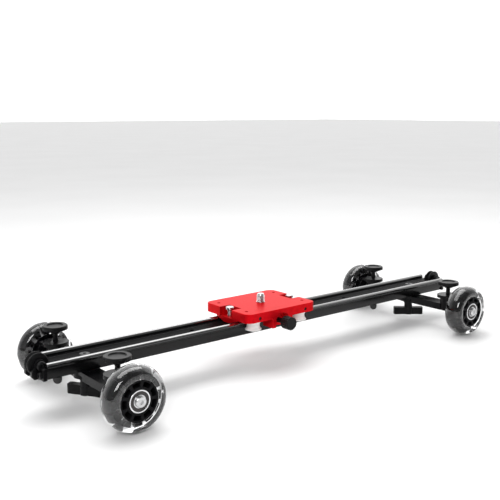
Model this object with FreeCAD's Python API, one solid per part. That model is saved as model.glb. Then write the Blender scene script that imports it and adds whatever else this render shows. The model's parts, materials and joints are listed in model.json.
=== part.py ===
"""Camera slider on four dolly wheels: beaded track, roller carriage, swinging arms and swivelling wheels.

Heights named *_H are above the floor that the wheels stand on. The frame's origin is the lower mouth of the
tripod socket in the middle of the track, so every shape is lowered by ORIGIN_H when it is written.
+X runs along the track, and the brake knob is on the -Y side.
"""

import FreeCAD, Part
import math
import os

V = FreeCAD.Vector
X_AXIS = V(1, 0, 0)
Y_AXIS = V(0, 1, 0)
Z_AXIS = V(0, 0, 1)

# Track: a round bead runs along the top of each side rail. The real track is one extrusion. Here its two
# rails and the web between them are three solids that touch face to face, so that the channel stays open.
TRACK_HALF = 300.0
BEAD_Y = 18.0
BEAD_H = 52.4
BEAD_R = 3.0
WALL_Y = 18.6            # outer face of the side wall
CHAMFER_H = 43.4
TRACK_LOW_H = 38.4
FOOT_Y = 16.4            # outer edge of the flat underside
CHANNEL_Y = 9.5          # half width of the channel under the web
WEB_TOP_H = 51.0
WEB_LOW_H = 47.0
ORIGIN_H = WEB_LOW_H
END_SCREW_Y = 14.0
END_SCREW_H = 43.0
END_SCREW_R = 2.1
END_SCREW_DEPTH = 12.0
SOCKET_R = 3.97          # 3/8-16 tapping size
SIDE_SOCKET_R = 2.55     # 1/4-20 tapping size
SIDE_SOCKET_X = 120.0
END_NOTCHES = ((10.0, 5.0), (3.6, 13.2))     # (reach from the end, half width) of each step of the end notch
BUMPER_X = (-287.0, 163.0)
BUMPER_Y = 13.0
BUMPER_R = 4.3
BUMPER_H = 35.3          # middle of the domed tip

# Pulleys and the brackets that hold them
PULLEY_X = 302.0
PULLEY_H = 51.5
PULLEY_R = 11.0
PULLEY_GROOVE_R = 8.0
PULLEY_HALF_W = 4.0
PULLEY_AXLE_R = 2.5
PULLEY_HEAD_R = 4.5
EAR_NEAR = 5.0
EAR_FAR = 9.3
EAR_R = 5.5
BRACKET_T = 4.0
BRACKET_HALF_Y = 19.5

# Dolly: arm pivots under the track, swivel stems at the arm tips, wheels
PIVOT_X = 251.0
ARM_REACH = 66.5         # pivot to stem
ARM_HALF_W = 10.5
ARM_LOW_H = 27.6
ARM_TOP_H = 36.4
EYE_R = 12.0
LAP_Y = 13.0             # the arm is full thickness beyond this
LAP_GAP = 0.1
SPACER_R = 16.0
BOLT_R = 3.0
BOLT_HEAD_R = 5.2
BOLT_LOW_H = 12.0
BOLT_SEAT_H = 49.9       # floor of the counterbore in the web
BOLT_HEAD_TOP_H = 51.2
RUNNING_GAP = 0.05
BOSS_R = 10.0
BOSS_TOP_H = 44.2
STEM_R = 2.75
DIAL_R = 14.0
DIAL_LOW_H = 44.4
DIAL_TOP_H = 48.3
PLATE_NEAR = 10.5        # swivel bracket's upright plate, outward from the stem
PLATE_FAR = 14.0
PLATE_HALF_W = 13.0
PLATE_LOW_R = 16.5
WHEEL_REACH = 28.0       # stem to the wheel's middle plane
WHEEL_R = 32.0
AXLE_H = WHEEL_R
WHEEL_HALF_W = 12.0
AXLE_R = 3.97
BEARING_R = 11.0
BEARING_W = 7.0
BEARING_FACE = 11.2      # outer face of each wheel bearing, from the wheel's middle plane
HUB_R = 20.0
HUB_HALF_W = 10.5
TOOTH_NECK_R = 22.6
TOOTH_R = 25.4
TOOTH_HALF_W = 5.0
TOOTH_COUNT = 12
TOOTH_NECK_DEG = 17
TOOTH_DEG = 21
POCKET_COUNT = 9
POCKET_RADII = (13.4, 18.2)
POCKET_DEG = 29
POCKET_FLOOR = 1.5       # half thickness left between opposite pockets
KNOB_R = 13.4
KNOB_TOP_H = 66.0
WING_LOW_H = 8.0
WING_T = 10.0

# Carriage
CARRIAGE_X = -21.0
PLATE_HALF_X = 52.0
PLATE_HALF_Y = 41.0
PLATE_LOW_H = 57.8
PLATE_TOP_H = 68.2
NOTCH_DEPTH = 14.0
NOTCH_HALF_Y = 11.0
CORNER_HOLE_DX = 42.4
CORNER_HOLE_Y = 26.0
CORNER_HOLE_R = 2.1
CORNER_HOLE_DEPTH = 8.0
ROLLER_DX = 34.5
ROLLER_Y = 28.4
ROLLER_RIM_R = 9.3
ROLLER_WAIST_R = 7.25
ROLLER_LOW_H = 46.9
ROLLER_TOP_H = 57.4
ROLLER_WAIST_H = 52.3
GROOVE_HALF = 4.5
ROLLER_AXLE_R = 2.48
ROLLER_AXLE_DEPTH = 6.5  # into the plate
ROLLER_BEARING_R = 5.5
SEAT_H = 52.6            # bottom of the roller's bearing seat
SET_SCREW_H = 61.8
SET_SCREW_R = 2.0
SHOE_HALF_X = 51.0
SHOE_HALF_Y = 18.8
KEEL_H = 51.7
SHOE_SCREW_DX = 30.0
SHOE_SCREW_DEPTH = 5.0   # into the plate
BRAKE_DX = -1.0          # from the carriage's middle
BRAKE_H = 53.2
BRAKE_SCREW_R = 3.0
BRAKE_KNOB_R = 7.6
BRAKE_ARCH_R = 10.0
BRAKE_HALF_X = 15.0
BRAKE_BACK_Y = -23.5
BRAKE_OPEN_Y = -33.0     # back of the opening that the knob sits in
BRAKE_OPEN_HALF_X = 10.0
CORD_SCREW_DX = 46.0
STUD_R = 4.76            # 3/8-16 stud, above the plate
STUD_SHANK_R = 5.2       # fixed in the plate
STUD_FLANGE_R = 7.0
STUD_FLANGE_T = 2.8
STUD_TOP_H = 78.2

# Corner name: (end of the track along X, side along Y, swivel at rest in degrees about +Z)
CORNERS = {
    "fl": (-1, -1, 0.0),
    "fr": (1, -1, 0.0),
    "bl": (-1, 1, 0.0),
    "br": (1, 1, -10.0),
}
ENDS = {"left": -1, "right": 1}
WING_TURN = {"left": -58.7, "right": -39.0}
SIGNS = (-1, 1)
OVER = 90.0              # above everything, for cuts that run right through


def cylinder(radius, start, end):
    """Solid cylinder between two points."""
    a = V(*start)
    b = V(*end)
    return Part.makeCylinder(radius, (b - a).Length, a, b - a)


def block(x, y, z):
    """Solid box from three pairs of limits, in either order."""
    low = [min(pair) for pair in (x, y, z)]
    high = [max(pair) for pair in (x, y, z)]
    return Part.makeBox(high[0] - low[0], high[1] - low[1], high[2] - low[2], V(*low))


def prism(points, along):
    """Solid from a closed polygon of 3-D points, pushed along a vector."""
    loop = [V(*p) for p in points]
    return Part.Face(Part.makePolygon(loop + loop[:1])).extrude(V(*along))


def lines(points):
    """Straight edges from point to point."""
    return [Part.makeLine(a, b) for a, b in zip(points, points[1:])]


def stood(solid, origin, axis):
    """Moves a shape made about the Z axis so that it lies about another axis through a point."""
    solid.Placement = FreeCAD.Placement(V(*origin), FreeCAD.Rotation(Z_AXIS, axis))
    return solid


def turned(profile, origin=(0, 0, 0), axis=Z_AXIS):
    """Solid of revolution from (radius, height) points; the heights run along the axis."""
    loop = [V(r, 0, h) for r, h in profile]
    face = Part.Face(Part.makePolygon(loop + loop[:1]))
    return stood(face.revolve(V(0, 0, 0), Z_AXIS, 360), origin, axis)


def sector(radii, heights, width_deg):
    """Block bounded by two radii and two heights, centred on the X axis."""
    corners = [(radii[0], heights[0]), (radii[1], heights[0]), (radii[1], heights[1]), (radii[0], heights[1])]
    loop = [V(r, 0, h) for r, h in corners]
    made = Part.Face(Part.makePolygon(loop + loop[:1])).revolve(V(0, 0, 0), Z_AXIS, width_deg)
    made.rotate(V(0, 0, 0), Z_AXIS, -width_deg / 2)
    return made


def ring_of(shape, count):
    """Copies of a shape spaced evenly about the Z axis."""
    copies = []
    for i in range(count):
        made = shape.copy()
        made.rotate(V(0, 0, 0), Z_AXIS, 360.0 * i / count)
        copies.append(made)
    return copies


def eased(shape, radius, keep):
    """Fillets the edges whose middle passes the test."""
    return shape.makeFillet(radius, [e for e in shape.Edges if keep(e.CenterOfMass)])


# ---- track ----------------------------------------------------------------------------------------------

def end_notches():
    """Stepped notches in both ends of the web, where the pulleys run."""
    cuts = []
    for end in SIGNS:
        for reach, half_y in END_NOTCHES:
            span = (end * (TRACK_HALF - reach), end * (TRACK_HALF + 1))
            cuts.append(block(span, (-half_y, half_y), (WEB_LOW_H - 1, WEB_TOP_H + 1)))
    return cuts


def make_track_rail(side):
    """One side wall of the track with its bead; side is 1 for +Y and -1 for -Y."""
    def p(y, h):
        return V(-TRACK_HALF, side * y, h)

    inner = p(BEAD_Y - math.sqrt(BEAD_R ** 2 - (BEAD_H - WEB_TOP_H) ** 2), WEB_TOP_H)
    outer = p(WALL_Y, BEAD_H - math.sqrt(BEAD_R ** 2 - (WALL_Y - BEAD_Y) ** 2))
    crest = p(BEAD_Y + BEAD_R * math.cos(math.pi / 4), BEAD_H + BEAD_R * math.sin(math.pi / 4))
    outline = [
        outer,
        p(WALL_Y, CHAMFER_H),
        p(FOOT_Y, TRACK_LOW_H),
        p(CHANNEL_Y, TRACK_LOW_H),
        p(CHANNEL_Y, WEB_TOP_H),
        inner,
    ]
    edges = [Part.Arc(inner, crest, outer).toShape()] + lines(outline)
    rail = Part.Face(Part.Wire(edges)).extrude(X_AXIS * (2 * TRACK_HALF))
    y = side * END_SCREW_Y
    cuts = end_notches()
    for end in SIGNS:
        deep = (end * (TRACK_HALF - END_SCREW_DEPTH), y, END_SCREW_H)
        cuts.append(cylinder(END_SCREW_R, deep, (end * TRACK_HALF, y, END_SCREW_H)))
    return rail.cut(cuts)


def make_track_web():
    """Plate between the rails, with the tripod sockets and the counterbores of the arm pivots."""
    web = block((-TRACK_HALF, TRACK_HALF), (-CHANNEL_Y, CHANNEL_Y), (WEB_LOW_H, WEB_TOP_H))
    holes = [(SOCKET_R, 0)]
    cuts = end_notches()
    for end in SIGNS:
        x = end * PIVOT_X
        holes += [(SIDE_SOCKET_R, end * SIDE_SOCKET_X), (BOLT_R, x)]
        cuts.append(cylinder(BOLT_HEAD_R + 0.1, (x, 0, BOLT_SEAT_H), (x, 0, OVER)))
    cuts += [cylinder(r, (x, 0, 0), (x, 0, OVER)) for r, x in holes]
    return web.cut(cuts)


def make_end_bracket(end):
    """Cross plate over the track's end, with two ears that hold the pulley."""
    def x(out):
        return end * (TRACK_HALF + out)

    shape = block((x(0), x(BRACKET_T)), (-BRACKET_HALF_Y, BRACKET_HALF_Y), (TRACK_LOW_H, 50.0))
    shape = eased(shape, 2.5, lambda c: abs(c.y) > BRACKET_HALF_Y - 0.1 and c.z > 49.9)
    shape = shape.cut(block((x(-1), x(12)), (-EAR_NEAR, EAR_NEAR), (TRACK_LOW_H + 1.5, 70)))
    for side in SIGNS:
        near = side * EAR_NEAR
        far = side * EAR_FAR
        outline = [
            (0, TRACK_LOW_H), (8.5, TRACK_LOW_H), (11.0, 41.0), (11.0, 46.0), (7.2, PULLEY_H), (0, PULLEY_H),
        ]
        foot = prism([(x(out), near, h) for out, h in outline], (0, far - near, 0))
        eye = cylinder(EAR_R, (end * PULLEY_X, near, PULLEY_H), (end * PULLEY_X, far, PULLEY_H))
        shape = shape.fuse([foot, eye])
    cuts = [cylinder(PULLEY_AXLE_R, (end * PULLEY_X, -12, PULLEY_H), (end * PULLEY_X, 12, PULLEY_H))]
    for side in SIGNS:
        seat = (end * PULLEY_X, side * EAR_FAR, PULLEY_H)
        cuts.append(cylinder(PULLEY_HEAD_R + 0.2, seat, (end * PULLEY_X, side * (EAR_FAR + 3.4), PULLEY_H)))
        y = side * END_SCREW_Y
        cuts.append(cylinder(END_SCREW_R, (x(-1), y, END_SCREW_H), (x(12), y, END_SCREW_H)))
    return shape.cut(cuts).removeSplitter()


def make_bracket_screws():
    """Four cap screws that hold the end brackets."""
    head = TRACK_HALF + BRACKET_T
    screws = []
    for end in SIGNS:
        for side in SIGNS:
            y = side * END_SCREW_Y
            shank_from = (end * (TRACK_HALF - END_SCREW_DEPTH), y, END_SCREW_H)
            shank = cylinder(END_SCREW_R, shank_from, (end * head, y, END_SCREW_H))
            cap = cylinder(3.4, (end * head, y, END_SCREW_H), (end * (head + 2.6), y, END_SCREW_H))
            recess = cylinder(1.5, (end * (head + 1.2), y, END_SCREW_H), (end * (head + 3), y, END_SCREW_H))
            screws.append(shank.fuse(cap).cut(recess))
    return Part.makeCompound(screws)


def make_pulley_axle(end):
    """Round-headed screw through both ears."""
    x = end * PULLEY_X
    shaft = cylinder(PULLEY_AXLE_R, (x, -EAR_FAR, PULLEY_H), (x, EAR_FAR + 1.5, PULLEY_H))
    head = cylinder(PULLEY_HEAD_R, (x, -EAR_FAR - 3.0, PULLEY_H), (x, -EAR_FAR, PULLEY_H))
    head = eased(head, 1.0, lambda c: c.y < -EAR_FAR - 2.9)
    recess = cylinder(1.8, (x, -EAR_FAR - 4, PULLEY_H), (x, -EAR_FAR - 1.4, PULLEY_H))
    return shaft.fuse(head).cut(recess)


def make_pulley(end):
    bore = PULLEY_AXLE_R + RUNNING_GAP
    w = PULLEY_HALF_W
    side = [
        (PULLEY_GROOVE_R, w - 2.8), (PULLEY_R, w - 1.3), (PULLEY_R, w - 0.5), (PULLEY_R - 0.7, w),
        (4.4, w), (4.4, w + 0.6), (bore, w + 0.6),
    ]
    other = [(r, -h) for r, h in reversed(side)]
    return turned(other + side, (end * PULLEY_X, 0, PULLEY_H), Y_AXIS)


def make_pivot_spacers():
    """Blocks that fill the channel over the arm pivots, with round pads for the arms to turn against."""
    half_y = CHANNEL_Y - 0.1
    spacers = []
    for end in SIGNS:
        x = end * PIVOT_X
        filling = block((x - EYE_R, x + EYE_R), (-half_y, half_y), (TRACK_LOW_H, WEB_LOW_H))
        pad = cylinder(SPACER_R, (x, 0, ARM_TOP_H + LAP_GAP), (x, 0, TRACK_LOW_H))
        spacers.append(filling.fuse(pad).cut(cylinder(BOLT_R, (x, 0, 0), (x, 0, OVER))))
    return Part.makeCompound(spacers)


def make_pivot_bolt(end):
    """Bolt through the web, spacer and arms; its low head sits in the web's counterbore."""
    x = end * PIVOT_X
    head = cylinder(BOLT_HEAD_R, (x, 0, BOLT_SEAT_H), (x, 0, BOLT_HEAD_TOP_H))
    head = eased(head, 0.4, lambda c: c.z > BOLT_HEAD_TOP_H - 0.1)
    shaft = cylinder(BOLT_R, (x, 0, BOLT_LOW_H), (x, 0, BOLT_SEAT_H))
    return head.fuse(shaft).cut(cylinder(1.8, (x, 0, BOLT_SEAT_H + 0.2), (x, 0, OVER)))


def make_rubber_feet():
    """Domed bumpers under both rails of the track."""
    feet = []
    for x in BUMPER_X:
        for side in SIGNS:
            y = side * BUMPER_Y
            stem = cylinder(BUMPER_R, (x, y, BUMPER_H), (x, y, TRACK_LOW_H))
            dome = Part.makeSphere(BUMPER_R, V(x, y, BUMPER_H), Z_AXIS, -90, 0, 360)
            feet.append(stem.fuse(dome))
    return Part.makeCompound(feet)


# ---- dolly ----------------------------------------------------------------------------------------------
# An arm is made with its pivot at the origin, and what swivels with its stem there. Both point along +Y.

def make_arm(upper_lap):
    """Flat arm with a half-thickness eye at the pivot and a raised boss for the swivel stem."""
    middle = (ARM_LOW_H + ARM_TOP_H) / 2
    lap = (middle + LAP_GAP, ARM_TOP_H) if upper_lap else (ARM_LOW_H, middle - LAP_GAP)
    w = ARM_HALF_W
    eye = cylinder(EYE_R, (0, 0, lap[0]), (0, 0, lap[1]))
    neck = block((-w, w), (0, LAP_Y), lap)
    beam = block((-w, w), (LAP_Y, ARM_REACH - 4), (ARM_LOW_H, ARM_TOP_H))
    boss = cylinder(BOSS_R, (0, ARM_REACH, ARM_LOW_H), (0, ARM_REACH, BOSS_TOP_H))
    arm = eye.fuse([neck, beam, boss])
    pivot = cylinder(BOLT_R + RUNNING_GAP, (0, 0, 0), (0, 0, OVER))
    stem = cylinder(STEM_R + RUNNING_GAP, (0, ARM_REACH, 0), (0, ARM_REACH, OVER))
    return arm.cut([pivot, stem]).removeSplitter()


def make_swivel_bracket():
    """Dial that turns on the stem, with an upright plate that carries the wheel's axle."""
    top = DIAL_TOP_H - 0.9
    w = PLATE_HALF_W
    dial = cylinder(DIAL_R, (0, 0, DIAL_LOW_H), (0, 0, DIAL_TOP_H))
    dial = eased(dial, 0.7, lambda c: c.z > DIAL_TOP_H - 0.1)
    bridge = block((-w, w), (5.0, PLATE_FAR), (DIAL_LOW_H, top))
    upright = block((-w, w), (PLATE_NEAR, PLATE_FAR), (AXLE_H, top))
    rounded = cylinder(PLATE_LOW_R, (0, PLATE_NEAR, AXLE_H), (0, PLATE_FAR, AXLE_H))
    shape = dial.fuse([bridge, upright, rounded])
    stem = cylinder(STEM_R + 2 * RUNNING_GAP, (0, 0, 0), (0, 0, OVER))
    axle = cylinder(AXLE_R, (0, 5, AXLE_H), (0, 40, AXLE_H))
    return shape.cut([stem, axle]).removeSplitter()


def make_axle():
    """Shoulder bolt fixed in the bracket's plate, with a hexagon recess in its head outside the wheel."""
    near = WHEEL_REACH - BEARING_FACE - 0.2
    far = WHEEL_REACH + BEARING_FACE + 0.2
    profile = [
        (0, PLATE_NEAR), (AXLE_R, PLATE_NEAR), (AXLE_R, PLATE_FAR), (5.8, PLATE_FAR), (5.8, near),
        (AXLE_R, near), (AXLE_R, far), (5.5, far), (5.5, far + 1.8), (4.8, far + 2.5), (0, far + 2.5),
    ]
    corners = [math.radians(60 * i) for i in range(6)]
    hexagon = prism([(2.4 * math.cos(a), 2.4 * math.sin(a), far + 0.9) for a in corners], (0, 0, 4))
    return stood(turned(profile).cut(hexagon), (0, 0, AXLE_H), Y_AXIS)


def make_wheel_bearings():
    """The wheel's two ball bearings, each with a shield set back between its rings."""
    bore = AXLE_R + RUNNING_GAP
    rings = []
    for side in SIGNS:
        near = side * (BEARING_FACE - BEARING_W)
        far = side * BEARING_FACE
        shield = far - side * 0.5
        profile = [
            (bore, near), (BEARING_R, near), (BEARING_R, far), (BEARING_R - 1.3, far),
            (BEARING_R - 1.3, shield), (6.4, shield), (6.4, far), (bore, far),
        ]
        rings.append(turned(profile, (0, WHEEL_REACH, AXLE_H), Y_AXIS))
    return Part.makeCompound(rings)


def make_wheel_hub():
    """Moulded core with bearing seats, pockets between its spokes, and teeth that key into the tyre."""
    seat = BEARING_FACE - BEARING_W
    w = HUB_HALF_W
    core = turned([
        (6.5, -seat), (BEARING_R, -seat), (BEARING_R, -w), (HUB_R, -w),
        (HUB_R, w), (BEARING_R, w), (BEARING_R, seat), (6.5, seat),
    ])
    neck = sector((HUB_R - 1.5, TOOTH_NECK_R), (-TOOTH_HALF_W, TOOTH_HALF_W), TOOTH_NECK_DEG)
    head = sector((TOOTH_NECK_R, TOOTH_R), (-TOOTH_HALF_W, TOOTH_HALF_W), TOOTH_DEG)
    teeth = ring_of(neck.fuse(head).removeSplitter(), TOOTH_COUNT)
    pockets = []
    for side in SIGNS:
        depth = (side * POCKET_FLOOR, side * WHEEL_HALF_W)
        pockets += ring_of(sector(POCKET_RADII, depth, POCKET_DEG), POCKET_COUNT)
    return stood(core.fuse(teeth).cut(pockets).removeSplitter(), (0, WHEEL_REACH, AXLE_H), Y_AXIS)


def make_tyre(hub):
    """Cast tyre with a rounded tread, moulded round the hub's teeth."""
    w = WHEEL_HALF_W

    def p(r, h):
        return V(r, 0, h)

    edges = lines([p(24, w), p(21.5, w), p(HUB_R, w - 1), p(HUB_R, 1 - w), p(21.5, -w), p(24, -w)])
    edges.append(Part.Arc(p(24, -w), p(29.7, 4 - w), p(WHEEL_R, 0)).toShape())
    edges.append(Part.Arc(p(WHEEL_R, 0), p(29.7, w - 4), p(24, w)).toShape())
    tyre = Part.Face(Part.Wire(edges)).revolve(V(0, 0, 0), Z_AXIS, 360)
    return stood(tyre, (0, WHEEL_REACH, AXLE_H), Y_AXIS).cut(hub)


def make_swivel_knob():
    """Dished clamp knob on a long stem that runs through the dial into the arm's boss."""
    top = KNOB_TOP_H
    knob = turned([
        (0, top - 1.2), (8.4, top - 1.2), (9.0, top), (12.5, top), (KNOB_R, top - 0.9), (KNOB_R, top - 4.4),
        (11.0, top - 5.4), (6.2, top - 7.6), (4.5, top - 8.5), (STEM_R, top - 8.5), (STEM_R, 26), (0, 26),
    ])
    return knob.cut(ring_of(cylinder(0.7, (KNOB_R + 0.3, 0, top - 6), (KNOB_R + 0.3, 0, top + 1)), 30))


def make_wing_knob(label):
    """T-shaped clamp knob on the end of the pivot bolt, under the arms."""
    top = ARM_LOW_H - 0.2
    low = WING_LOW_H
    hub = turned([(0, low), (6.0, low), (6.0, 16), (5.4, 18), (5.4, 23), (6.5, 25), (6.5, top), (0, top)])
    outline = [(4, -4), (18, -4.4), (20, -3.2), (20, 3.2), (18, 4.4), (4, 4)]
    wings = []
    for sign in SIGNS:
        wings.append(prism([(sign * x, sign * y, low) for x, y in outline], (0, 0, WING_T)))
    knob = hub.fuse(wings).removeSplitter()
    knob = knob.cut(cylinder(BOLT_R + RUNNING_GAP, (0, 0, BOLT_LOW_H - 0.4), (0, 0, 40)))
    return placed(knob, WING_TURN[label], (ENDS[label] * PIVOT_X, 0, 0))


# ---- carriage -------------------------------------------------------------------------------------------
# The carriage is made with its middle at X = 0 and then moved to CARRIAGE_X.

def make_brake_arch():
    """Round recess over the brake knob, cut into the front of the plate and the brake block."""
    return cylinder(BRAKE_ARCH_R, (BRAKE_DX, -PLATE_HALF_Y - 1, BRAKE_H), (BRAKE_DX, BRAKE_OPEN_Y, BRAKE_H))


def make_carriage_plate():
    plate = block((-PLATE_HALF_X, PLATE_HALF_X), (-PLATE_HALF_Y, PLATE_HALF_Y), (PLATE_LOW_H, PLATE_TOP_H))
    plate = eased(plate, 9.0, lambda c: abs(c.x) > PLATE_HALF_X - 1 and abs(c.y) > PLATE_HALF_Y - 1)
    plate = eased(plate, 0.8, lambda c: c.z > PLATE_TOP_H - 0.1)
    low = PLATE_LOW_H
    cuts = [make_brake_arch(), cylinder(STUD_SHANK_R, (0, 0, low), (0, 0, OVER))]
    for sx in SIGNS:
        span = (sx * (PLATE_HALF_X - NOTCH_DEPTH), sx * (PLATE_HALF_X + 1))
        cuts.append(block(span, (-NOTCH_HALF_Y, NOTCH_HALF_Y), (low - 1, PLATE_TOP_H + 1)))
        x = sx * SHOE_SCREW_DX
        cuts.append(cylinder(SET_SCREW_R, (x, 0, low), (x, 0, low + SHOE_SCREW_DEPTH)))
        for sy in SIGNS:
            x = sx * ROLLER_DX
            y = sy * ROLLER_Y
            cuts.append(cylinder(ROLLER_AXLE_R, (x, y, low), (x, y, low + ROLLER_AXLE_DEPTH)))
            y = sy * (ROLLER_Y + ROLLER_AXLE_R - 0.5)
            cuts.append(cylinder(SET_SCREW_R, (x, sy * (PLATE_HALF_Y + 1), SET_SCREW_H), (x, y, SET_SCREW_H)))
            x = sx * CORNER_HOLE_DX
            y = sy * CORNER_HOLE_Y
            cuts.append(cylinder(CORNER_HOLE_R, (x, y, PLATE_TOP_H - CORNER_HOLE_DEPTH), (x, y, OVER)))
    return plate.cut(cuts)


def make_guide_shoe():
    """Bar under the plate; its keel runs between the track's beads."""
    half_section = [(SHOE_HALF_Y, PLATE_LOW_H), (18.0, 56.1), (5.0, KEEL_H)]
    section = half_section + [(-y, h) for y, h in reversed(half_section)]
    shoe = prism([(-SHOE_HALF_X, y, h) for y, h in section], (2 * SHOE_HALF_X, 0, 0))
    cuts = [cylinder(STUD_FLANGE_R, (0, 0, PLATE_LOW_H - STUD_FLANGE_T), (0, 0, 60))]
    for sx in SIGNS:
        cuts.append(cylinder(SET_SCREW_R, (sx * SHOE_SCREW_DX, 0, 50), (sx * SHOE_SCREW_DX, 0, 60)))
    return shoe.cut(cuts)


def make_brake_block():
    wide = (BRAKE_DX - BRAKE_HALF_X, BRAKE_DX + BRAKE_HALF_X)
    inside = (BRAKE_DX - BRAKE_OPEN_HALF_X, BRAKE_DX + BRAKE_OPEN_HALF_X)
    shape = block(wide, (-PLATE_HALF_Y, BRAKE_BACK_Y), (WEB_LOW_H, PLATE_LOW_H))
    bore = cylinder(BRAKE_SCREW_R + RUNNING_GAP, (BRAKE_DX, -50, BRAKE_H), (BRAKE_DX, 0, BRAKE_H))
    opening = block(inside, (-PLATE_HALF_Y - 1, BRAKE_OPEN_Y), (WEB_LOW_H - 1, BRAKE_H))
    return shape.cut([make_brake_arch(), opening, bore])


def make_brake_knob():
    """Fluted knob whose screw points at the front bead."""
    knob = turned([
        (0, 21.4), (2.4, 21.4), (BRAKE_SCREW_R, 22.0), (BRAKE_SCREW_R, 44.5), (6.4, 44.5),
        (BRAKE_KNOB_R, 45.6), (BRAKE_KNOB_R, 56.0), (6.6, 57.0), (0, 57.0),
    ])
    knob = knob.cut(ring_of(cylinder(1.0, (BRAKE_KNOB_R + 0.6, 0, 44), (BRAKE_KNOB_R + 0.6, 0, 58)), 16))
    return stood(knob, (BRAKE_DX, 0, BRAKE_H), V(0, -1, 0))


def make_roller(sx, sy):
    """Plastic spool that hugs the bead, with a bearing seat in its top."""
    def p(r, h):
        return V(r, 0, h)

    bore = ROLLER_AXLE_R + RUNNING_GAP
    low_rim = p(ROLLER_RIM_R, ROLLER_WAIST_H - GROOVE_HALF)
    high_rim = p(ROLLER_RIM_R, ROLLER_WAIST_H + GROOVE_HALF)
    edges = [Part.Arc(low_rim, p(ROLLER_WAIST_R, ROLLER_WAIST_H), high_rim).toShape()]
    edges += lines([
        high_rim,
        p(ROLLER_RIM_R, ROLLER_TOP_H),
        p(ROLLER_BEARING_R, ROLLER_TOP_H),
        p(ROLLER_BEARING_R, SEAT_H),
        p(bore, SEAT_H),
        p(bore, ROLLER_LOW_H),
        p(ROLLER_RIM_R, ROLLER_LOW_H),
        low_rim,
    ])
    roller = Part.Face(Part.Wire(edges)).revolve(V(0, 0, 0), Z_AXIS, 360)
    return placed(roller, 0, (sx * ROLLER_DX, sy * ROLLER_Y, 0))


def make_roller_bearing(sx, sy):
    bore = ROLLER_AXLE_R + RUNNING_GAP
    top = ROLLER_TOP_H - 0.3
    ring = [(bore, SEAT_H), (ROLLER_BEARING_R, SEAT_H), (ROLLER_BEARING_R, top), (bore, top)]
    return turned(ring, (sx * ROLLER_DX, sy * ROLLER_Y, 0))


def make_roller_axles():
    """Four screws from below, each with a shoulder under the plate."""
    profile = [
        (0, 45.0), (4.2, 45.0), (4.2, 46.6), (ROLLER_AXLE_R, 46.6), (ROLLER_AXLE_R, ROLLER_TOP_H - 0.1),
        (3.6, ROLLER_TOP_H - 0.1), (3.6, PLATE_LOW_H), (ROLLER_AXLE_R, PLATE_LOW_H),
        (ROLLER_AXLE_R, PLATE_LOW_H + ROLLER_AXLE_DEPTH), (0, PLATE_LOW_H + ROLLER_AXLE_DEPTH),
    ]
    recess = cylinder(1.6, (0, 0, 44), (0, 0, 46))
    axles = []
    for sx in SIGNS:
        for sy in SIGNS:
            axles.append(placed(turned(profile).cut(recess), 0, (sx * ROLLER_DX, sy * ROLLER_Y, 0)))
    return Part.makeCompound(axles)


def make_cord_screws():
    """Two thumb screws in the end notches, for tying off a pull cord."""
    profile = [
        (0, PLATE_LOW_H), (2.4, PLATE_LOW_H), (2.4, 65.4), (3.4, 65.4), (3.4, 66.4), (4.6, 66.8),
        (4.6, 68.9), (3.9, 69.5), (0, 69.5),
    ]
    return Part.makeCompound([turned(profile, (sx * CORD_SCREW_DX, 0, 0)) for sx in SIGNS])


def make_head_stud():
    """3/8 inch stud for the camera head, with a flange under the plate."""
    flange = PLATE_LOW_H - STUD_FLANGE_T
    return turned([
        (0, flange), (STUD_FLANGE_R, flange), (STUD_FLANGE_R, PLATE_LOW_H), (STUD_SHANK_R, PLATE_LOW_H),
        (STUD_SHANK_R, PLATE_TOP_H), (STUD_R, PLATE_TOP_H), (STUD_R, STUD_TOP_H - 0.9),
        (STUD_R - 0.9, STUD_TOP_H), (0, STUD_TOP_H),
    ])


def make_carriage_screws():
    """Set screws that lock the roller axles, and two screws that hold the guide shoe."""
    screws = []
    for sx in SIGNS:
        x = sx * SHOE_SCREW_DX
        screws.append(cylinder(SET_SCREW_R, (x, 0, KEEL_H + 0.4), (x, 0, PLATE_LOW_H + SHOE_SCREW_DEPTH)))
        x = sx * ROLLER_DX
        for sy in SIGNS:
            inner = sy * (ROLLER_Y + ROLLER_AXLE_R)
            outer = sy * (PLATE_HALF_Y - 1.2)
            body = cylinder(SET_SCREW_R, (x, inner, SET_SCREW_H), (x, outer, SET_SCREW_H))
            y = sy * ROLLER_Y
            screws.append(body.cut(cylinder(ROLLER_AXLE_R, (x, y, PLATE_LOW_H), (x, y, PLATE_TOP_H))))
    return Part.makeCompound(screws)


# ---- assembly -------------------------------------------------------------------------------------------

def placed(shape, turn, move):
    """Copy turned about +Z and then moved."""
    made = shape.copy()
    made.rotate(V(0, 0, 0), Z_AXIS, turn)
    made.translate(V(*move))
    return made


def write(name, shape):
    made = placed(shape, 0, (0, 0, -ORIGIN_H))
    if not made.isValid():
        raise ValueError(name + " is not a valid shape")
    made.exportStep(os.path.join("parts", name + ".step"))


def write_track():
    write("track_web", make_track_web())
    write("track_rail_front", make_track_rail(-1))
    write("track_rail_back", make_track_rail(1))
    write("pivot_spacers", make_pivot_spacers())
    write("bracket_screws", make_bracket_screws())
    write("rubber_feet", make_rubber_feet())
    for label, end in ENDS.items():
        write("end_bracket_" + label, make_end_bracket(end))
        write("pulley_axle_" + label, make_pulley_axle(end))
        write("pulley_" + label, make_pulley(end))
        write("pivot_bolt_" + label, make_pivot_bolt(end))
        write("wing_knob_" + label, make_wing_knob(label))


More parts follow.
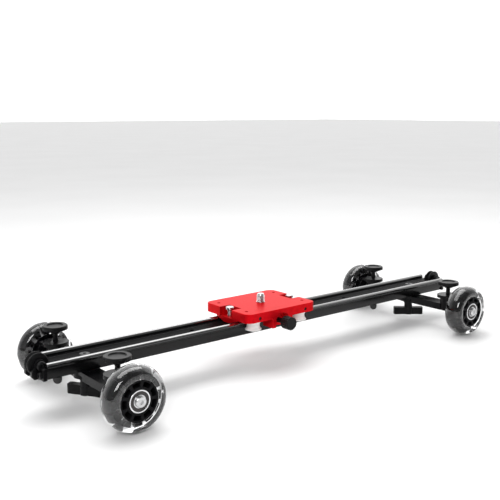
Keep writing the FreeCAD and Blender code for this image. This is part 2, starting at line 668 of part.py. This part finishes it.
def write_dolly():
    hub = make_wheel_hub()
    swivelling = {
        "swivel_bracket": make_swivel_bracket(),
        "axle": make_axle(),
        "wheel_bearings": make_wheel_bearings(),
        "wheel_hub": hub,
        "tyre": make_tyre(hub),
    }
    for corner, (end, side, swivel) in CORNERS.items():
        facing = 0 if side > 0 else 180
        stem = (end * PIVOT_X, side * ARM_REACH, 0)
        write("arm_" + corner, placed(make_arm(side < 0), facing, (end * PIVOT_X, 0, 0)))
        write("swivel_knob_" + corner, placed(make_swivel_knob(), facing, stem))
        for name, shape in swivelling.items():
            write(name + "_" + corner, placed(shape, facing + swivel, stem))


def write_carriage():
    pieces = {
        "carriage_plate": make_carriage_plate(),
        "guide_shoe": make_guide_shoe(),
        "brake_block": make_brake_block(),
        "brake_knob": make_brake_knob(),
        "roller_axles": make_roller_axles(),
        "cord_screws": make_cord_screws(),
        "head_stud": make_head_stud(),
        "carriage_screws": make_carriage_screws(),
    }
    for corner, (sx, sy, _) in CORNERS.items():
        pieces["roller_" + corner] = make_roller(sx, sy)
        pieces["roller_bearing_" + corner] = make_roller_bearing(sx, sy)
    for name, shape in pieces.items():
        write(name, placed(shape, 0, (CARRIAGE_X, 0, 0)))


os.makedirs("parts", exist_ok=True)
write_track()
write_dolly()
write_carriage()
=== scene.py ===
"""Looks of the camera slider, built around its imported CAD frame. Lengths are in metres."""

import json
import math

import bmesh
import bpy
from mathutils import Matrix, Vector


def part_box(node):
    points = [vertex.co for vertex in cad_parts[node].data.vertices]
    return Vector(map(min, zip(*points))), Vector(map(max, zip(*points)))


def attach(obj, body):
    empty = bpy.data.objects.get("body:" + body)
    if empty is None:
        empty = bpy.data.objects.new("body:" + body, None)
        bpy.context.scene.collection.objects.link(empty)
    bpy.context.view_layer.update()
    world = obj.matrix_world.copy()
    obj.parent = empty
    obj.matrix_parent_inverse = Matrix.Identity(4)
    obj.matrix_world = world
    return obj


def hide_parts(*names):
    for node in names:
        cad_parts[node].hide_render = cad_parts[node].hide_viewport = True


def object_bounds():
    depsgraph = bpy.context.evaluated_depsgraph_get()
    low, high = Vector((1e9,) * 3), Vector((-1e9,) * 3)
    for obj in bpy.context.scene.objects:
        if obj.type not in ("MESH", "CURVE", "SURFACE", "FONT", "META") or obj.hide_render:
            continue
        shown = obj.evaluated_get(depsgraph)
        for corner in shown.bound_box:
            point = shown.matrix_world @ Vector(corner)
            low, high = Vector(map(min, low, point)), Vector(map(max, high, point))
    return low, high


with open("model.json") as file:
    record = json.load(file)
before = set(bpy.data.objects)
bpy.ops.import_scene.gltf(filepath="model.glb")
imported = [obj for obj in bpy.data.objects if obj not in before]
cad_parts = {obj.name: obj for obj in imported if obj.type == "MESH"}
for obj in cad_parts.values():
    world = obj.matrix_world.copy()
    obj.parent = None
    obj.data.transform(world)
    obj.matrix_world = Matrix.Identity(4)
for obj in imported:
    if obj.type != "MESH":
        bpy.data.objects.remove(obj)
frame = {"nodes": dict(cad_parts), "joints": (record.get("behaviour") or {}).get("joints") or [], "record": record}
cad_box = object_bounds()

MM = 0.001
CORNERS = ("fl", "fr", "bl", "br")
JOINTS = {joint["name"]: joint for joint in frame["joints"]}

CAMERA_AT = Vector((-0.5915, -0.6813, 0.243))
CAMERA_YAW = 0.683       # radians from +Y towards +X
CAMERA_PITCH = 0.178     # radians below the horizon
CAMERA_LENS = 55.58
SENSOR_WIDTH = 36.0

# Studio. The world's brightness goes from the room's to the backdrop's with the cosine of the angle between a
# direction and the line of sight.
BACKDROP_LIGHT = 1.7
BACKDROP_COSINE = 0.6
ROOM_LIGHT = 0.22
ROOM_COSINE = -0.3
FLOOR_SIZE = 40

# Grain, and edges lightened partly as wear and partly as painted highlight
NOISE_RANGE = (0.3, 0.7)
PATCH_COARSENESS = 14    # patches of colour, against the fine grain
EDGE_PATCH_COARSENESS = 5
EDGE_LIGHTENING_REACH = 0.35 * MM   # how far from an edge the lightening goes, wear and painted highlight both
FLAT_COSINE = 0.99
EDGE_COSINE = 0.8
# Depths below the rails' crest over which the painted sheen fades in
CREST_FADE_DEPTH = 3.4 * MM
CREST_FULL_DEPTH = 1.2 * MM

# CAD nodes' rounded edges
WELD_GAP = 0.002 * MM
FLAT_ANGLE = math.radians(0.4)
EDGE_ANGLE = math.radians(32)
SMALL_EDGE = 0.2 * MM
WIDE_EDGES = {"wing_knob_left": 1.0 * MM, "wing_knob_right": 1.0 * MM, "carriage_plate": 0.35 * MM}

# Turned pieces, in millimetres
SHARP_ANGLE = math.radians(40)
TYRE_R = 32.0
TYRE_SHOULDER_R = 24.0
TYRE_HALF_W = 12.0
TYRE_LIP_R = 21.4
TYRE_INNER_R = 19.95
TYRE_INNER_HALF_W = 11.0
TREAD_STEPS = 12
TREAD_FULLNESS = 0.86    # an exponent below 1 makes the tread fuller than an ellipse
RACE_R = 11.0
RACE_INNER_R = 9.6
CONE_R = 6.4
BORE_R = 4.03
BEARING_BACK = 4.2       # heights from the wheel's middle plane
BEARING_FACE = 11.2
SEAL_BACK = 5.0
SEAL_RIM = 10.4
SEAL_LIP = 10.5
SEAL_FACE = 10.75
SEAL_FACE_RADII = (9.0, 7.0)
BEARING_EDGE = 0.35
EDGE_SHARE = 0.45        # the most of an edge that one rounded corner may take
ROUNDING_STEPS = 3
STUD_CREST_R = 4.76
STUD_ROOT_R = 4.15
STUD_TIP_R = STUD_ROOT_R - 0.4
STUD_SHANK_R = 5.2
STUD_HEAD_R = 7.0
STUD_HEAD_T = 2.8
THREAD_PITCH = 25.4 / 16
THREAD_LEAD_IN = 0.2
THREAD_RUN_OUT = 0.9
NEARLY_AXIS = 0.02       # a hair off the axis, so that no face is flattened to a line


# ---- materials ------------------------------------------------------------------------------------------

def add(tree, kind, **values):
    """New shader node, with its inputs or settings set by name."""
    node = tree.nodes.new("ShaderNode" + kind)
    for name, value in values.items():
        socket = name.replace("_", " ")
        if socket in node.inputs:
            node.inputs[socket].default_value = value
        else:
            setattr(node, name, value)
    return node


def grain(tree, scale, stretch, detail=3.0):
    """Noise in the piece's own space; a stretch above 1 packs the grain tighter along that axis."""
    coords = add(tree, "TexCoord")
    mapping = add(tree, "Mapping", Scale=stretch)
    noise = add(tree, "TexNoise", Scale=scale, Detail=detail)
    tree.links.new(coords.outputs["Object"], mapping.inputs["Vector"])
    tree.links.new(mapping.outputs["Vector"], noise.inputs["Vector"])
    return noise.outputs["Fac"]


def spread(tree, factor, low, high):
    """Maps a noise's usual range onto low to high."""
    node = add(tree, "MapRange", From_Min=NOISE_RANGE[0], From_Max=NOISE_RANGE[1], To_Min=low, To_Max=high)
    tree.links.new(factor, node.inputs["Value"])
    return node.outputs["Result"]


def edge_mask(tree, radius):
    """Near 1 within a small radius of a sharp edge, and 0 on the open surface."""
    bevel = add(tree, "Bevel", Radius=radius, samples=4)
    geometry = add(tree, "NewGeometry")
    dot = add(tree, "VectorMath", operation="DOT_PRODUCT")
    tree.links.new(bevel.outputs["Normal"], dot.inputs[0])
    tree.links.new(geometry.outputs["Normal"], dot.inputs[1])
    mask = add(tree, "MapRange", From_Min=FLAT_COSINE, From_Max=EDGE_COSINE, To_Min=0.0, To_Max=1.0)
    tree.links.new(dot.outputs["Value"], mask.inputs["Value"])
    return mask.outputs["Result"]


def mixed(tree, factor, first, second):
    """Blend of two colours; each is a tuple or another node's colour output."""
    mix = add(tree, "Mix", data_type="RGBA")
    tree.links.new(factor, mix.inputs[0])
    for socket, colour in ((mix.inputs[6], first), (mix.inputs[7], second)):
        if isinstance(colour, tuple):
            socket.default_value = (*colour, 1.0)
        else:
            tree.links.new(colour, socket)
    return mix.outputs[2]


def surface(
    name, dark, light, rough, scale, stretch=(1, 1, 1), bump=0.1, relief=0.05 * MM, worn_highlit_edge=None, **uniform
):
    """Material with patchy colour, grain in its roughness and bump, and optionally edges lightened partly as wear
    and partly as painted highlight.
    """
    material = bpy.data.materials.new(name)
    material.use_nodes = True
    tree = material.node_tree
    shader = tree.nodes["Principled BSDF"]
    for key, value in uniform.items():
        shader.inputs[key.replace("_", " ")].default_value = value
    fine = grain(tree, scale, stretch)
    patches = spread(tree, grain(tree, scale / PATCH_COARSENESS, stretch, 2.0), 0.0, 1.0)
    colour = mixed(tree, patches, dark, light)
    if worn_highlit_edge:
        # Edges lightened in patches: partly wear, partly a painted highlight along the rims.
        edge_wear_and_highlight = add(tree, "Math", operation="MULTIPLY")
        tree.links.new(edge_mask(tree, EDGE_LIGHTENING_REACH), edge_wear_and_highlight.inputs[0])
        edge_patches = spread(tree, grain(tree, scale / EDGE_PATCH_COARSENESS, (1, 1, 1)), 0.0, 0.8)
        tree.links.new(edge_patches, edge_wear_and_highlight.inputs[1])
        colour = mixed(tree, edge_wear_and_highlight.outputs["Value"], colour, worn_highlit_edge)
    tree.links.new(colour, shader.inputs["Base Color"])
    tree.links.new(spread(tree, fine, *rough), shader.inputs["Roughness"])
    height = add(tree, "Bump", Strength=bump, Distance=relief)
    tree.links.new(fine, height.inputs["Height"])
    tree.links.new(height.outputs["Normal"], shader.inputs["Normal"])
    return material


def crest_painted_sheen(material):
    """Coat gloss rises with height towards the rails' crests and is left off lower down: a painted sheen on the
    crests and painted shade in the channel below them.
    """
    tree = material.node_tree
    shader = tree.nodes["Principled BSDF"]
    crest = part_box("track_rail_front")[1].z
    coords = add(tree, "TexCoord")
    split = add(tree, "SeparateXYZ")
    fade = {"From_Min": crest - CREST_FADE_DEPTH, "From_Max": crest - CREST_FULL_DEPTH}
    painted_sheen = add(tree, "MapRange", To_Min=0.0, To_Max=1.0, **fade)
    tree.links.new(coords.outputs["Object"], split.inputs["Vector"])
    tree.links.new(split.outputs["Z"], painted_sheen.inputs["Value"])
    tree.links.new(painted_sheen.outputs["Result"], shader.inputs["Coat Weight"])


def make_materials():
    """Every finish by name; drawn stretches the grain along the track."""
    drawn = (0.06, 1, 1)
    return {
        "track_black": surface(
            "track_black", (0.002, 0.002, 0.0022), (0.005, 0.005, 0.0054), (0.16, 0.26), 2600, drawn,
            bump=0.08, Specular_IOR_Level=0.25, Coat_Roughness=0.06, Coat_IOR=3.0,
        ),
        # A duller copy of the rails' black: painted shade for the channel between the rails
        "track_recess_painted_shade": surface(
            "track_recess_painted_shade", (0.002, 0.002, 0.0022), (0.006, 0.006, 0.0064), (0.34, 0.46), 2200, drawn,
            bump=0.08, Specular_IOR_Level=0.01,
        ),
        "carriage_red": surface(
            "carriage_red", (0.54, 0.002, 0.006), (0.66, 0.004, 0.010), (0.30, 0.44), 2400,
            bump=0.12, worn_highlit_edge=(0.80, 0.10, 0.10), Metallic=0.45, Specular_IOR_Level=0.2,
            Specular_Tint=(0.9, 0.10, 0.12, 1.0),
        ),
        "roller_white": surface(
            "roller_white", (0.80, 0.80, 0.78), (0.90, 0.90, 0.88), (0.3, 0.45), 1800, (1, 1, 5),
            bump=0.1, Subsurface_Weight=0.1, Subsurface_Scale=0.002, Subsurface_Radius=(1.0, 1.0, 1.0),
        ),
        "screw_steel": surface(
            "screw_steel", (0.50, 0.50, 0.50), (0.66, 0.66, 0.67), (0.18, 0.36), 1500, (1, 1, 4),
            bump=0.12, Metallic=1.0,
        ),
        "bearing_steel": surface(
            "bearing_steel", (0.66, 0.66, 0.67), (0.78, 0.78, 0.79), (0.12, 0.26), 2600,
            bump=0.06, Metallic=1.0,
        ),
        "bearing_seal": surface(
            "bearing_seal", (0.020, 0.017, 0.017), (0.045, 0.038, 0.036), (0.4, 0.6), 3000, bump=0.2,
        ),
        "black_metal": surface(
            "black_metal", (0.002, 0.002, 0.0024), (0.005, 0.005, 0.0056), (0.22, 0.38), 1500,
            bump=0.22, relief=0.08 * MM, worn_highlit_edge=(0.05, 0.05, 0.05), Specular_IOR_Level=0.12,
        ),
        "black_fastener": surface(
            "black_fastener", (0.008, 0.008, 0.009), (0.018, 0.018, 0.019), (0.25, 0.4), 2200,
            bump=0.12, worn_highlit_edge=(0.12, 0.12, 0.12), Metallic=0.6,
        ),
        "knob_plastic": surface(
            "knob_plastic", (0.003, 0.003, 0.0034), (0.007, 0.007, 0.0075), (0.28, 0.44), 3200,
            bump=0.25, relief=0.06 * MM, worn_highlit_edge=(0.05, 0.05, 0.05), Specular_IOR_Level=0.15,
        ),
        "pulley_plastic": surface(
            "pulley_plastic", (0.003, 0.003, 0.0034), (0.008, 0.008, 0.0085), (0.25, 0.42), 2600,
            bump=0.15, Specular_IOR_Level=0.2,
        ),
        "hub_black": surface(
            "hub_black", (0.003, 0.003, 0.0035), (0.007, 0.007, 0.008), (0.3, 0.46), 2400, bump=0.16,
            Specular_IOR_Level=0.08,
        ),
        "foot_rubber": surface(
            "foot_rubber", (0.010, 0.010, 0.010), (0.022, 0.022, 0.022), (0.6, 0.8), 2600,
            bump=0.3, relief=0.1 * MM,
        ),
        "tyre_clear": surface(
            "tyre_clear", (0.94, 0.945, 0.955), (0.98, 0.982, 0.985), (0.015, 0.05), 500,
            bump=0.02, relief=0.03 * MM, Transmission_Weight=1.0, IOR=1.36, Coat_Weight=1.0,
            Coat_Roughness=0.02,
        ),
    }


# ---- CAD pieces -----------------------------------------------------------------------------------------

def dress(node, material, edge):
    """Gives a CAD node its material and, through modifiers only, rounded edges that catch the light."""
    piece = frame["nodes"][node]
    piece.data.materials.clear()
    piece.data.materials.append(material)
    for face in piece.data.polygons:
        face.use_smooth = True
    piece.modifiers.new("weld", "WELD").merge_threshold = WELD_GAP
    planar = piece.modifiers.new("planar", "DECIMATE")
    planar.decimate_type = "DISSOLVE"
    planar.angle_limit = FLAT_ANGLE
    rounding = piece.modifiers.new("rounding", "BEVEL")
    rounding.width = edge
    rounding.segments = 2
    rounding.limit_method = "ANGLE"
    rounding.angle_limit = EDGE_ANGLE
    piece.modifiers.new("flat_faces", "WEIGHTED_NORMAL").weight = 100


def dress_cad(materials):
    """Dresses every CAD node in its slot's finish, but gives the track's recess a duller copy of the rails' black
    as painted shade in the channel.
    """
    painted_shade_finish = {"track_web": "track_recess_painted_shade"}
    for entry in frame["record"]["subparts"]:
        node = entry["node"]
        finish = painted_shade_finish.get(node, entry["material_slot"])
        dress(node, materials[finish], WIDE_EDGES.get(node, SMALL_EDGE))


# ---- wheels ---------------------------------------------------------------------------------------------

def wheel_place(corner):
    """Matrix that takes a shape made about Z at the origin onto a wheel's axis, outer face up."""
    joint = JOINTS["wheel_spin_" + corner]
    turn = Vector(joint["axis"]).to_track_quat("Z", "Y").to_matrix().to_4x4()
    return Matrix.Translation(Vector(joint["pos_m"])) @ turn


def lathe(name, profile, place, material, segments=96):
    """Closed ring turned from (radius, height) points in millimetres, given as a loop."""
    mesh = bpy.data.meshes.new(name)
    form = bmesh.new()
    rings = []
    for i in range(segments):
        angle = 2 * math.pi * i / segments
        points = [(r * math.cos(angle) * MM, r * math.sin(angle) * MM, h * MM) for r, h in profile]
        rings.append([form.verts.new(place @ Vector(point)) for point in points])
    for ring, following in zip(rings, rings[1:] + rings[:1]):
        for j in range(len(profile)):
            k = (j + 1) % len(profile)
            form.faces.new((ring[j], following[j], following[k], ring[k]))
    bmesh.ops.recalc_face_normals(form, faces=form.faces)
    for face in form.faces:
        face.smooth = True
    form.to_mesh(mesh)
    form.free()
    mesh.set_sharp_from_angle(angle=SHARP_ANGLE)
    mesh.materials.append(material)
    piece = bpy.data.objects.new(name, mesh)
    bpy.context.scene.collection.objects.link(piece)
    return piece


def rounded(profile, radius):
    """Profile loop with every corner cut back by up to the radius and rounded."""
    points = [Vector(p) for p in profile]
    made = []
    for before, corner, after in zip(points[-1:] + points[:-1], points, points[1:] + points[:1]):
        back = min(radius, (before - corner).length * EDGE_SHARE)
        ahead = min(radius, (after - corner).length * EDGE_SHARE)
        start = corner + (before - corner).normalized() * back
        end = corner + (after - corner).normalized() * ahead
        for i in range(ROUNDING_STEPS + 1):
            t = i / ROUNDING_STEPS
            made.append(tuple(start * (1 - t) ** 2 + corner * (2 * t * (1 - t)) + end * t ** 2))
    return made


def tyre_profile():
    """Rounded tread with flat shoulders; the inner face lies on the hub's rim."""
    tread = []
    for i in range(-TREAD_STEPS, TREAD_STEPS + 1):
        angle = math.radians(90 * i / TREAD_STEPS)
        rise = math.cos(angle) ** TREAD_FULLNESS if abs(i) < TREAD_STEPS else 0.0
        radius = TYRE_SHOULDER_R + (TYRE_R - TYRE_SHOULDER_R) * rise
        tread.append((radius, TYRE_HALF_W * math.sin(angle)))
    return tread + [
        (TYRE_LIP_R, TYRE_HALF_W),
        (TYRE_INNER_R, TYRE_INNER_HALF_W),
        (TYRE_INNER_R, -TYRE_INNER_HALF_W),
        (TYRE_LIP_R, -TYRE_HALF_W),
    ]


def ring_section(inner, outer):
    """Cross-section of a bearing ring between two radii."""
    return [(inner, BEARING_BACK), (outer, BEARING_BACK), (outer, BEARING_FACE), (inner, BEARING_FACE)]


def seal_section():
    """Cross-section of a bearing's seal, which stands a little below the steel's face."""
    outer, inner = SEAL_FACE_RADII
    return [
        (CONE_R, SEAL_BACK), (RACE_INNER_R, SEAL_BACK), (RACE_INNER_R, SEAL_RIM),
        (outer, SEAL_FACE), (inner, SEAL_FACE), (CONE_R, SEAL_LIP),
    ]


def make_bearing(corner, label, side, place, materials):
    """One bearing as race, cone and seal; side is 1 for the wheel's outer face and -1 for its inner one."""
    rings = (
        ("race", ring_section(RACE_INNER_R, RACE_R), "bearing_steel"),
        ("cone", ring_section(BORE_R, CONE_R), "bearing_steel"),
        ("seal", seal_section(), "bearing_seal"),
    )
    for kind, section, finish in rings:
        name = "bearing_{}_{}_{}".format(kind, label, corner)
        profile = [(r, side * h) for r, h in rounded(section, BEARING_EDGE)]
        ring = lathe(name, profile, place, materials[finish])
        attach(ring, "wheel_" + corner)
        if kind == "race" and label == "outer":
            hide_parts("wheel_bearings_" + corner)


def make_wheel(corner, materials):
    """The wheel's clear tyre and its two bearings; its hub stays the CAD node."""
    place = wheel_place(corner)
    tyre = lathe("clear_tyre_" + corner, tyre_profile(), place, materials["tyre_clear"], 160)
    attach(tyre, "wheel_" + corner)
    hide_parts("tyre_" + corner)
    make_bearing(corner, "outer", 1, place, materials)
    make_bearing(corner, "inner", -1, place, materials)


# ---- head stud ------------------------------------------------------------------------------------------

def make_stud(materials):
    """The head stud with its thread, 16 turns to the inch, cut down from the plain solid's size."""
    low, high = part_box("head_stud")
    middle = (low + high) / 2
    plate_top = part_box("carriage_plate")[1].z / MM
    foot = low.z / MM
    start = plate_top + THREAD_LEAD_IN
    stop = high.z / MM
    turns = int((stop - start - THREAD_RUN_OUT) / THREAD_PITCH)
    profile = [
        (NEARLY_AXIS, foot), (STUD_HEAD_R, foot), (STUD_HEAD_R, foot + STUD_HEAD_T),
        (STUD_SHANK_R, foot + STUD_HEAD_T), (STUD_SHANK_R, plate_top),
    ]
    for i in range(turns):
        root = start + i * THREAD_PITCH
        profile.append((STUD_ROOT_R, root))
        profile.append((STUD_CREST_R, root + 0.4 * THREAD_PITCH))
        profile.append((STUD_CREST_R, root + 0.6 * THREAD_PITCH))
    profile += [(STUD_ROOT_R, start + turns * THREAD_PITCH), (STUD_TIP_R, stop), (NEARLY_AXIS, stop)]
    place = Matrix.Translation(Vector((middle.x, middle.y, 0)))
    stud = lathe("threaded_stud", profile, place, materials["screw_steel"])
    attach(stud, "carriage")
    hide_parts("head_stud")


# ---- stage ----------------------------------------------------------------------------------------------

def make_floor():
    """Plain pale floor under the wheels."""
    bpy.ops.mesh.primitive_plane_add(size=FLOOR_SIZE, location=(0, 0, cad_box[0].z))
    floor = bpy.context.object
    floor.name = "floor"
    paint = surface("floor_paint", (0.86, 0.86, 0.86), (0.89, 0.89, 0.89), (0.5, 0.6), 40, bump=0.02)
    floor.data.materials.append(paint)


def make_light(name, at, size, power):
    """Area light aimed at the frame's origin."""
    light = bpy.data.lights.new(name, "AREA")
    light.shape = "RECTANGLE"
    light.size, light.size_y = size
    light.energy = power
    lamp = bpy.data.objects.new(name, light)
    lamp.location = at
    lamp.rotation_euler = (Vector((0, 0, 0)) - Vector(at)).to_track_quat("-Z", "Y").to_euler()
    bpy.context.scene.collection.objects.link(lamp)


def view_direction():
    """Unit vector along the camera's line of sight."""
    level = math.cos(CAMERA_PITCH)
    return Vector((math.sin(CAMERA_YAW) * level, math.cos(CAMERA_YAW) * level, -math.sin(CAMERA_PITCH)))


def make_studio():
    """Bright white backdrop beyond the object and a dimmer room behind the camera."""
    world = bpy.data.worlds.new("studio")
    world.use_nodes = True
    tree = world.node_tree
    coords = add(tree, "TexCoord")
    towards = add(tree, "VectorMath", operation="DOT_PRODUCT")
    towards.inputs[1].default_value = view_direction()
    span = {"From_Min": ROOM_COSINE, "From_Max": BACKDROP_COSINE}
    shade = add(tree, "MapRange", To_Min=ROOM_LIGHT, To_Max=BACKDROP_LIGHT, **span)
    tree.links.new(coords.outputs["Generated"], towards.inputs[0])
    tree.links.new(towards.outputs["Value"], shade.inputs["Value"])
    tree.links.new(shade.outputs["Result"], tree.nodes["Background"].inputs["Strength"])
    tree.nodes["Background"].inputs["Color"].default_value = (1.0, 1.0, 1.0, 1.0)
    bpy.context.scene.world = world
    bpy.context.scene.view_settings.view_transform = "Standard"
    make_light("overhead", at=(0.0, 0.35, 1.3), size=(1.8, 0.7), power=14)
    make_light("key", at=(-1.1, -0.9, 0.9), size=(0.7, 0.7), power=12)


def make_camera():
    """Camera where the photo's stood, from the fit to the picture."""
    camera = bpy.data.objects.new("camera", bpy.data.cameras.new("camera"))
    camera.data.lens = CAMERA_LENS
    camera.data.sensor_width = SENSOR_WIDTH
    camera.location = CAMERA_AT
    camera.rotation_euler = view_direction().to_track_quat("-Z", "Y").to_euler()
    bpy.context.scene.collection.objects.link(camera)
    bpy.context.scene.camera = camera


make_camera()
make_floor()
make_studio()
finishes = make_materials()
crest_painted_sheen(finishes["track_black"])
dress_cad(finishes)
make_stud(finishes)
for corner_name in CORNERS:
    make_wheel(corner_name, finishes)
